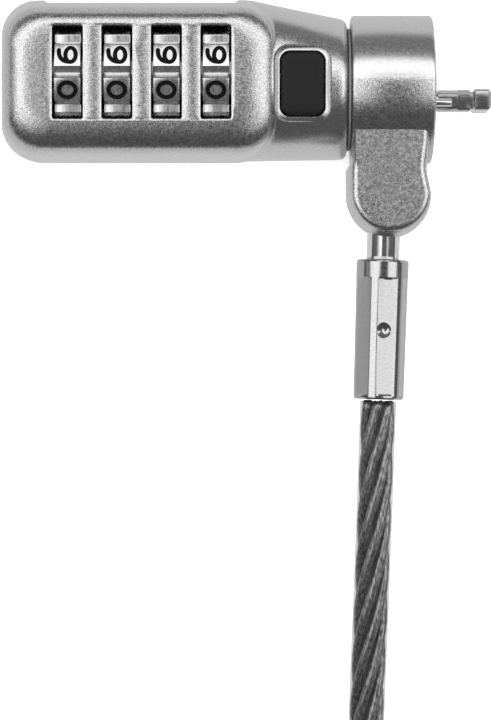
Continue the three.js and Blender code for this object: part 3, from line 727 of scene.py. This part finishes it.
# Each digit's strokes, as (right, up) in millimetres; a loop is closed, and the rest have round ends.
DIGITS = {
    0: [("loop", loop(0, 0, 1.02, 1.12))],
    1: [("line", [(-0.5, 0.7), (0.1, 1.18), (0.1, -1.18)])],
    2: [("line", [*arc(0, 0.35, 0.95, 0.83, 165, -25), (-1.0, -1.18), (1.0, -1.18)])],
    3: [("line", [*arc(0, 0.6, 0.85, 0.58, 160, -80), *arc(0, -0.52, 0.98, 0.66, 80, -155)])],
    4: [("line", [(0.45, -1.18), (0.45, 1.18), (-0.95, -0.3)]), ("line", [(-1.0, -0.4), (1.05, -0.4)])],
    5: [("line", [(0.85, 1.18), (-0.7, 1.18), (-0.8, 0.15), *arc(0, -0.42, 1.0, 0.76, 135, -150)])],
    6: [("loop", loop(0, -0.45, 1.06, 0.71)),
        ("line", [tuple(p) for p in spline([(-x, -y) for x, y in NINE_TAIL], 0.12)])],
    7: [("line", [(-0.95, 1.18), (0.95, 1.18), (-0.25, -1.18)])],
    8: [("loop", loop(0, 0.62, 0.82, 0.56)), ("loop", loop(0, -0.52, 1.02, 0.66))],
    9: [("loop", loop(0, 0.45, 1.06, 0.71)), ("line", [tuple(p) for p in spline(NINE_TAIL, 0.12)])],
}


def densely(points, spacing=0.12):
    """The same line with points close together, so that its corners stay small."""
    found = []
    for a, b in zip(points, points[1:]):
        steps = max(1, round(math.dist(a, b) / spacing))
        found += [tuple(np.array(a) + (np.array(b) - np.array(a)) * i / steps) for i in range(steps)]
    return [*found, points[-1]]


def stroke_cutters(level):
    """The pen strokes of one level, for all ten digits, wrapped onto the wheel's flats."""
    parts = []
    for digit, strokes in DIGITS.items():
        if level >= len(strokes):
            continue
        kind, points = strokes[level]
        angle = math.radians(DIGIT_TILT - 36 * digit)
        out = np.array([0, math.sin(angle), math.cos(angle)])
        right = np.array([0, -math.cos(angle), math.sin(angle)])
        up = np.array([1.0, 0, 0])
        if kind == "line":
            points = densely(points)
        line = [out * (RING_FLAT + 0.02) + right * u + up * v for u, v in points]
        parts.append(tube("stroke", line, STROKE, 10, PAINT, closed=kind == "loop",
                          round_ends=kind == "line"))
    return join("strokes", parts)


def number_wheel():
    """One wheel about the origin, with a flat for each number, grooves between, and cut numbers."""
    corner = [(-11.9, 7.89), (11.9, 7.89), (18.0, 7.1)]
    outline = []
    for facet in range(10):
        for angle, radius in corner:
            turn = math.radians(18 + 36 * facet + angle)
            outline.append((radius * math.sin(turn), radius * math.cos(turn)))
    obj = prism("yz", outline, -1.8, 1.8, NICKEL)
    bevel(obj, 0.13, 2, 20)
    cut(obj, rod((-3, 0, 0), (3, 0, 0), 4.7, sides=64))
    for level in (0, 1):
        combine(obj, "DIFFERENCE", stroke_cutters(level), solver="EXACT")
    return obj


wheel = number_wheel()
for i, x in enumerate(DIAL_X):
    copy = bpy.data.objects.new(f"wheel_{i + 1}", wheel.data.copy())
    bpy.context.scene.collection.objects.link(copy)
    copy.data.transform(Matrix.Translation((x, DIAL_Y, DIAL_Z)))
    place(copy, f"dial_{i + 1}", "dial_nickel", f"dial_ring_{i + 1}", angle=28)
bpy.data.objects.remove(wheel)


# ---- button

def button_cap():
    rings = []
    edge = ((0.06, 9.5), (0.18, 9.62), (0.3, 9.68), (0.45, 9.73), (0.8, 9.78), (1.2, 9.8))
    for inset, z in ((0, 6.4), (0, 9.3), *edge):
        outline = rounded_rectangle(BUTTON_X - 3 + inset, BUTTON_X + 3 - inset, -4.4 + inset, 4.4 - inset,
                                    max(0.4, 1.4 - inset))
        rings.append(at_z(outline, z))
    obj = loft("button", rings)
    return place(obj, "button", "button_plastic", "button_cap", material=BUTTON_BLACK, angle=40)


button_cap()


# ---- T-bar, nose cap and guide pins

BAR_Y = -1.58
PIN_Y = BAR_Y - 0.4
PIN_Z = 2.45
NOSE_FACE = 60.84


def bar_section(width, span, chamfer, x=0.0):
    w, s, c = width / 2, span / 2, chamfer
    corners = [(-w + c, -s), (w - c, -s), (w, -s + c), (w, s - c),
               (w - c, s), (-w + c, s), (-w, s - c), (-w, -s + c)]
    return [(x, BAR_Y + y, z) for y, z in corners]


def t_bar():
    obj = rod((39.8, BAR_Y, 0), (63.8, BAR_Y, 0), 1.4)
    cut(obj, box(39, 43.4, BAR_Y + 0.65, 5, -3, 3), box(39, 43.4, -6, BAR_Y - 0.65, -3, 3))
    cut(obj, box(39, 43.4, -6, 5, 0.65, 3), box(39, 43.4, -6, 5, -3, -0.65))
    neck_bar = loft("neck_bar", [bar_section(2.94, 3.0, 0.65, x) for x in (NOSE_FACE + 0.12, 63.8)])
    for z in (1.62, -1.62):
        line = [(NOSE_FACE - 1, PIN_Y, z), (62.9, PIN_Y, z)]
        cut(neck_bar, tube("groove", line, 0.6, 24, round_ends=True))
    shoulder = loft("shoulder", [bar_section(2.94, 3.4, 0.4, x) for x in (63.7, 65.4)])
    waist = loft("waist", [bar_section(2.44, 3.0, 0.3, x) for x in (65.3, 65.85)])
    steps = ((0.3, 65.75), (0, 66.05), (0, 67.9), (0.4, 68.3))
    head = loft("head", [bar_section(2.94 - 2 * inset, 6.4 - 2 * inset, 0.35, x) for inset, x in steps])
    unite(obj, neck_bar, shoulder, waist, head)
    bevel(obj, 0.05, 2, 25)
    obj.name = "locking_bar"
    return place(obj, "t_bar", "t_bar_steel", "t_bar", material=BAR_STEEL, angle=14)


t_bar()


def nose_cap():
    profile = [(59.5, 9.3), (59.86, 9.3), (59.98, 9.24), (60.08, 9.08), (60.16, 8.86), (60.26, 8.3),
               (60.36, 7.3), (60.44, 6.2), (60.5, 5.2)]
    obj = turned("nose_plate", (0, 0, 0), (1, 0, 0), profile, sides=96)
    cut(obj, rod((55, BAR_Y, 0), (65, BAR_Y, 0), 1.62))
    for z in (-PIN_Z, PIN_Z):
        cut(obj, rod((55, PIN_Y, z), (65, PIN_Y, z), 0.67))
    bevel(obj, 0.06, 2, 40)
    place(obj, "housing", "cast_body", "nose_cap", material=CAST_PLAIN, angle=35)
    for number, z in ((1, -PIN_Z), (2, PIN_Z)):
        profile = [(56, 0.55), (62.55, 0.55), (62.7, 0.5), (62.8, 0.38), (62.85, 0.2)]
        pin = turned(f"pin_{number}", (0, PIN_Y, z), (1, 0, 0), profile, sides=32)
        place(pin, "housing", "steel", f"guide_pin_{number}", material=CHROME, angle=40)


nose_cap()


# ---- swivel collar

COLLAR_START, COLLAR_END, COLLAR_RADIUS = 48.7, 60.1, 10.36
LUG_X, LUG_Y, LUG_RADIUS, LUG_FACE = 54.08, -14.8, 5.98, 8.3
COLLAR_BORE, NOSE_CAP_BORE = 7.25, 9.5
PIN_RADIUS, PIN_HEAD_RADIUS = 2.3, 3.2
TILT = math.radians(1.8)
PIVOT = Vector((53.4, -20.7, 0))
DOWN = Vector((-math.sin(TILT), -math.cos(TILT), 0))


def along_cable(distance):
    return PIVOT + DOWN * distance


def lug_outline(inset):
    points = [(COLLAR_START + 0.4 * inset, -3), (COLLAR_START + 0.4 * inset, -10.4),
              (LUG_X - LUG_RADIUS + inset, -11.4)]
    points += arc(LUG_X, LUG_Y, LUG_RADIUS - inset, LUG_RADIUS - inset, 180, 360, 36)
    waist = ((59.62, -12.8), (59.4, -11.5), (59.55, -10.0), (59.85, -7.6), (59.9, -3))
    points += [(x - inset, y) for x, y in waist]
    return points


def collar():
    edge = [(COLLAR_START, COLLAR_RADIUS - 0.5), (COLLAR_START + 0.15, COLLAR_RADIUS - 0.15),
            (COLLAR_START + 0.5, COLLAR_RADIUS), (COLLAR_END - 0.5, COLLAR_RADIUS),
            (COLLAR_END - 0.15, COLLAR_RADIUS - 0.15), (COLLAR_END, COLLAR_RADIUS - 0.5)]
    obj = turned("band", (0, 0, 0), (1, 0, 0), edge, sides=160)
    half = [(0, 0), (5.5, 0.3), (7.3, 0.5), (7.8, 0.62), (8.02, 0.76), (8.14, 0.95),
            (LUG_FACE, 1.3), (LUG_FACE, 1.45)]
    levels = [(-z, inset) for z, inset in reversed(half[1:])] + half
    lug = loft("lug", [at_z(lug_outline(inset), z) for z, inset in levels])
    unite(obj, lug)
    cut(obj, rod((47, 0, 0), (62, 0, 0), COLLAR_BORE, sides=120))
    cut(obj, rod((58.55, 0, 0), (62, 0, 0), NOSE_CAP_BORE, sides=120))
    cut(obj, rod(along_cable(-12), along_cable(3), PIN_RADIUS + 0.2))
    cut(obj, rod(along_cable(-16), along_cable(-7.4), PIN_HEAD_RADIUS + 0.4))
    obj.name = "swivel_collar"
    return place(obj, "collar", "cast_body", "collar", material=CAST_COLLAR, angle=30)


collar()


# ---- cable end: swivel pin and crimped ferrule

FERRULE_START, FERRULE_LENGTH = 3.1, 19.5
FERRULE_TOP, FERRULE_END = 3.67, 3.55
CRIMP_START = 2.6
CRIMP_TURN = math.radians(12)
CRIMP_SHARE = math.cos(math.radians(22.5))


def swivel_pin():
    profile = [(-9.6, PIN_HEAD_RADIUS), (-7.7, PIN_HEAD_RADIUS), (-7.7, PIN_RADIUS), (7.1, PIN_RADIUS)]
    obj = turned("pin_head", PIVOT, DOWN, profile)
    bevel(obj, 0.1, 2, 50)
    obj.name = "swivel"
    return place(obj, "cable_end", "pin_chrome", "swivel_pin", material=CHROME, angle=40)


swivel_pin()


def ferrule_ring(along, share, crimped):
    """A round section, or one pressed flat in six places by the crimping jaws."""
    radius = FERRULE_TOP + (FERRULE_END - FERRULE_TOP) * along / FERRULE_LENGTH
    across = Vector((math.cos(TILT), -math.sin(TILT), 0))
    front = Vector((0, 0, 1))
    middle = along_cable(FERRULE_START + along)
    points = []
    for i in range(180):
        angle = 2 * math.pi * i / 180
        offset = (angle - CRIMP_TURN + math.pi / 6) % (math.pi / 3) - math.pi / 6
        flat = radius * CRIMP_SHARE / math.cos(offset)
        reach = min(radius, flat) * crimped + radius * (1 - crimped)
        points.append(middle + (across * math.sin(angle) + front * math.cos(angle)) * reach * share)
    return points


def ferrule():
    # (distance along, share of the full radius, how far the crimp is pressed in)
    stations = [
        (0, 0.93, 0),
        (0.12, 0.975, 0),
        (0.35, 1, 0),
        (CRIMP_START - 0.12, 1, 0),
        (CRIMP_START, 1, 0.35),
        (CRIMP_START + 0.1, 1, 0.85),
        (CRIMP_START + 0.25, 1, 1),
        (FERRULE_LENGTH - 0.75, 1, 1),
        (FERRULE_LENGTH - 0.6, 1, 0.6),
        (FERRULE_LENGTH - 0.5, 1, 0.3),
        (FERRULE_LENGTH - 0.25, 0.99, 0.2),
        (FERRULE_LENGTH, 0.95, 0.2),
    ]
    obj = loft("crimp", [ferrule_ring(*station) for station in stations])
    cut(obj, rod(along_cable(0), along_cable(FERRULE_START + 4.3), 2.45))
    dimple = along_cable(FERRULE_START + 9.9) + Vector((0.55, 0, 0))
    cone = [(3.9, 1.45), (3.38, 1.2), (3.1, 0.75), (2.85, 0.45), (2.75, 0.15)]
    cut(obj, turned("dimple", dimple, (0, 0, 1), cone, sides=48))
    obj.name = "crimped_ferrule"
    return place(obj, "cable_end", "ferrule_nickel", "ferrule", material=FERRULE_METAL, angle=12)


ferrule()


# ---- cable: down from the ferrule, round the coil, and back through the sleeve as an eye

CABLE_DIAMETER = 5.1
EXIT = along_cable(FERRULE_START + FERRULE_LENGTH + 0.3)
# The stretch from the ferrule to the coil, in metres from the lock's own zero point.
CABLE_ROUTE = [
    (EXIT.x * MM, EXIT.y * MM, 0),
    (0.05245, -0.050, -0.0001),
    (0.05223, -0.057, -0.00045),
    (0.0520, -0.064, -0.00105),
    (0.05177, -0.071, -0.00185),
    (0.05153, -0.078, -0.0028),
    (0.0513, -0.085, -0.0038),
    (0.0511, -0.092, -0.0048),
    (0.0509, -0.098, -0.0056),
    (0.05065, -0.104, -0.0063),
    (0.05035, -0.109, -0.00675),
    (0.0500, -0.113, -0.0070),
    (0.0496, -0.120, -0.00715),
    (0.04925, -0.127, -0.00725),
]
COIL_X, COIL_Y = 15.0, -133.0
COIL_LOW_LAYER = -7.25
LAYER_RISE = 5.1
COIL_RADII = [34.15, 29.05, 23.95, 23.95, 29.05, 34.15, 34.15, 29.05, 23.95]
EYE_OUTER, EYE_INNER, EYE_Z = 29.3, 23.95, 9.0
SLEEVE_ANGLE = 200.0
SLEEVE_LENGTH = 14.0


def ease(value, start, end):
    t = min(max((value - start) / (end - start), 0), 1)
    return t * t * (3 - 2 * t)


def on_coil(angle, radius, z):
    turn = math.radians(angle)
    return (COIL_X + radius * math.cos(turn), COIL_Y + radius * math.sin(turn), z)


def coil_points():
    """Nine turns in three layers, then the eye on top; the angle runs clockwise."""
    points = []
    steps = 72
    last = len(COIL_RADII) - 1
    for turn, radius in enumerate(COIL_RADII):
        following = COIL_RADII[min(turn + 1, last)]
        z = COIL_LOW_LAYER + LAYER_RISE * (turn // 3)
        above = EYE_Z if turn == last else COIL_LOW_LAYER + LAYER_RISE * ((turn + 1) // 3)
        for i in range(steps):
            t = i / steps
            here = radius + (following - radius) * ease(t, 0.8, 1)
            points.append(on_coil(-360 * (turn + t), here, z + (above - z) * ease(t, 0.62, 0.82)))
    reach = (SLEEVE_LENGTH / 2 + 2) / math.radians(EYE_OUTER)
    for angle in np.arange(0, 520 + reach, 4.5):
        points.append(on_coil(-angle, EYE_INNER + (EYE_OUTER - EYE_INNER) * ease(angle, 168, 222), EYE_Z))
    return points


def cable():
    approach = [tuple(Vector(point) / MM) for point in CABLE_ROUTE]
    approach.append(on_coil(0, COIL_RADII[0], COIL_LOW_LAYER))
    visible = spline(approach, 1.0)
    line = np.vstack([visible[:-1], coil_points()])
    length = float(np.linalg.norm(np.diff(line, axis=0), axis=1).sum())
    jacket = tube("cable_jacket", line, CABLE_DIAMETER / 2, 20, JACKET)
    place(jacket, "cable_end", "cable_jacket", "cable", "cable_coil", "cable_eye")
    strands = cable_strands(line)
    place(strands, "cable_end", "cable_jacket")
    return jacket, strands, line, length


STRAND_RADIUS = 0.66
STRAND_CIRCLE = 1.72
CORE_RADIUS = 1.35
LAY_LENGTH = -40.0


def cable_strands(line):
    """Six strands laid round a dark core, at points close enough to follow their twist."""
    lengths = np.concatenate([[0], np.cumsum(np.linalg.norm(np.diff(line, axis=0), axis=1))])
    at = np.concatenate([np.arange(0, 95, 0.9), np.arange(95, lengths[-1], 2.2)])
    points = np.stack([np.interp(at, lengths, line[:, k]) for k in range(3)], axis=1)
    across, over = frames_along(points)
    parts = [tube("core", points, CORE_RADIUS, 10, CORE)]
    for k in range(6):
        turn = (2 * math.pi * (k / 6 - at / LAY_LENGTH))[:, None]
        parts.append(tube("strand", points + STRAND_CIRCLE * (across * np.cos(turn) + over * np.sin(turn)),
                          STRAND_RADIUS, 10, WIRE))
    return join("cable_strands", parts)


def eye_sleeve():
    """An oval sleeve pressed over the two cables where the eye closes."""
    turn = math.radians(SLEEVE_ANGLE)
    middle = Vector(on_coil(SLEEVE_ANGLE, (EYE_OUTER + EYE_INNER) / 2, EYE_Z))
    outward = Vector((math.cos(turn), math.sin(turn), 0))
    length = Vector((-math.sin(turn), math.cos(turn), 0))
    up = Vector((0, 0, 1))
    rings = []
    for at, inset in ((-7, 0.35), (-6.9, 0.15), (-6.6, 0), (-2.6, 0), (-2.3, 0.22), (-1.9, 0.22), (-1.6, 0),
                      (1.6, 0), (1.9, 0.22), (2.3, 0.22), (2.6, 0), (6.6, 0), (6.9, 0.15), (7, 0.35)):
        outline = rounded_rectangle(-5.55 + inset, 5.55 - inset, -2.8 + inset, 2.8 - inset, 2.6 - inset)
        rings.append([middle + length * at + outward * u + up * v for u, v in outline])
    obj = loft("sleeve", rings)
    return place(obj, "cable_end", "sleeve_aluminium", "eye_sleeve", material=ALUMINIUM, angle=40)


def coil_tie(number, angle):
    """A plain closed strap round the coil."""
    turn = math.radians(angle)
    outward = Vector((math.cos(turn), math.sin(turn), 0))
    length = Vector((-math.sin(turn), math.cos(turn), 0))
    middle = Vector(on_coil(angle, 29.0, -2.15))
    half_width, half_height = 8.15, 7.9

    def wrap(grow, across):
        outline = rounded_rectangle(-half_width - grow, half_width + grow,
                                    -half_height - grow, half_height + grow, 2.4 + grow, 6)
        return [[middle + length * s * across + outward * u + Vector((0, 0, v)) for u, v in outline]
                for s in (-0.5, 0.5)]
    obj = loft("strap", wrap(0.5, 7.0))
    cut(obj, loft("inside", wrap(-0.1, 9.0)))
    bevel(obj, 0.15, 2, 50)
    obj.name = f"coil_strap_{number}"
    return place(obj, "cable_end", "tie_fabric", f"coil_tie_{number}", material=STRAP, angle=35)


jacket, strands, cable_line, cable_length = cable()
sleeve = eye_sleeve()
ties = [coil_tie(1, 45), coil_tie(2, 235)]


# ---- the CAD nodes that show as they are

BRASS_NODES = ("reset_screw", "drive_pinion")
for name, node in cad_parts.items():
    finish = STEEL
    if name.startswith(BRASS_NODES):
        finish = BRASS
    if name == "collar_washer":
        finish = WASHER_PLASTIC
    node.data.materials.clear()
    node.data.materials.append(finish)
    node.data.polygons.foreach_set("use_smooth", [True] * len(node.data.polygons))
    node.data.set_sharp_from_angle(angle=math.radians(30))


# ---- floor and light

FLOOR_HALF = 1.5
floor_z = min(cad_low.z, 0.0)
floor_material = Nodes("floor", (0.93, 0.93, 0.93), 0.0, 0.9)
floor_material.colour(floor_material.ramp(floor_material.noise(40.0), (0.3, 0.925), (0.7, 0.935)))
floor = new_object("floor", [(-FLOOR_HALF, -FLOOR_HALF, floor_z), (FLOOR_HALF, -FLOOR_HALF, floor_z),
                             (FLOOR_HALF, FLOOR_HALF, floor_z), (-FLOOR_HALF, FLOOR_HALF, floor_z)],
                   [(0, 1, 2, 3)], floor_material.material)
floor_material.shader.inputs["Emission Color"].default_value = (1, 1, 1, 1)
floor_material.shader.inputs["Emission Strength"].default_value = 0.35
floor.visible_glossy = False


def area_light(name, place_mm, target_mm, width, height, power, glossy=True):
    data = bpy.data.lights.new(name, "AREA")
    data.shape = "RECTANGLE"
    data.size, data.size_y = width, height
    data.energy = power
    obj = bpy.data.objects.new(name, data)
    obj.location = to_row(place_mm)
    direction = to_row(target_mm) - obj.location
    obj.rotation_euler = direction.to_track_quat("-Z", "Y").to_euler()
    obj.visible_glossy = glossy
    bpy.context.scene.collection.objects.link(obj)
    return obj


area_light("overhead", (34, -40, 700), (34, -40, 0), 0.6, 0.6, 9, glossy=False)


def studio():
    """A light tent: softboxes above the lock's top edge and to both sides, a dim front and a pale base."""
    world = bpy.data.worlds.new("studio")
    bpy.context.scene.world = world
    world.use_nodes = True
    graph = Graph(world.node_tree)
    split = graph.tree.nodes.new("ShaderNodeSeparateXYZ")
    graph.link(graph.tree.nodes.new("ShaderNodeTexCoord").outputs["Generated"], split, "Vector")
    x, y, z = (split.outputs[axis] for axis in "XYZ")
    height = graph.math("MAXIMUM", z, 0.05)
    across = graph.math("DIVIDE", x, height)
    along = graph.math("DIVIDE", y, height)

    def panel(left, right, near, far, soft, grey):
        """A softbox, by its edges on a plane one unit above the lock."""
        sides = [graph.step(across, left - soft, left + soft),
                 graph.math("SUBTRACT", 1.0, graph.step(across, right - soft, right + soft)),
                 graph.step(along, near - soft, near + soft),
                 graph.math("SUBTRACT", 1.0, graph.step(along, far - soft, far + soft))]
        amount = graph.math("MULTIPLY", graph.math("MULTIPLY", sides[0], sides[1]),
                            graph.math("MULTIPLY", sides[2], sides[3]))
        return graph.math("MULTIPLY", amount, grey)

    light = graph.ramp(graph.math("MULTIPLY_ADD", y, 0.5, 0.5),
                       (0.0, 0.1), (0.3, 0.12), (0.5, 0.12), (0.8, 0.18), (1.0, 0.2))
    for edges in ((-4.0, 4.0, 0.28, 1.0, 0.1, 1.7), (-1.6, -0.22, -0.4, 1.0, 0.06, 1.7),
                  (0.4, 1.9, -0.4, 1.0, 0.08, 1.6)):
        light = graph.math("MAXIMUM", light, panel(*edges))
    low_part = graph.step(z, -0.06, 0.02)
    light = graph.math("MULTIPLY_ADD", graph.math("SUBTRACT", light, 0.72), low_part, 0.72)
    graph.link(light, graph.tree.nodes["Background"], "Color")


studio()
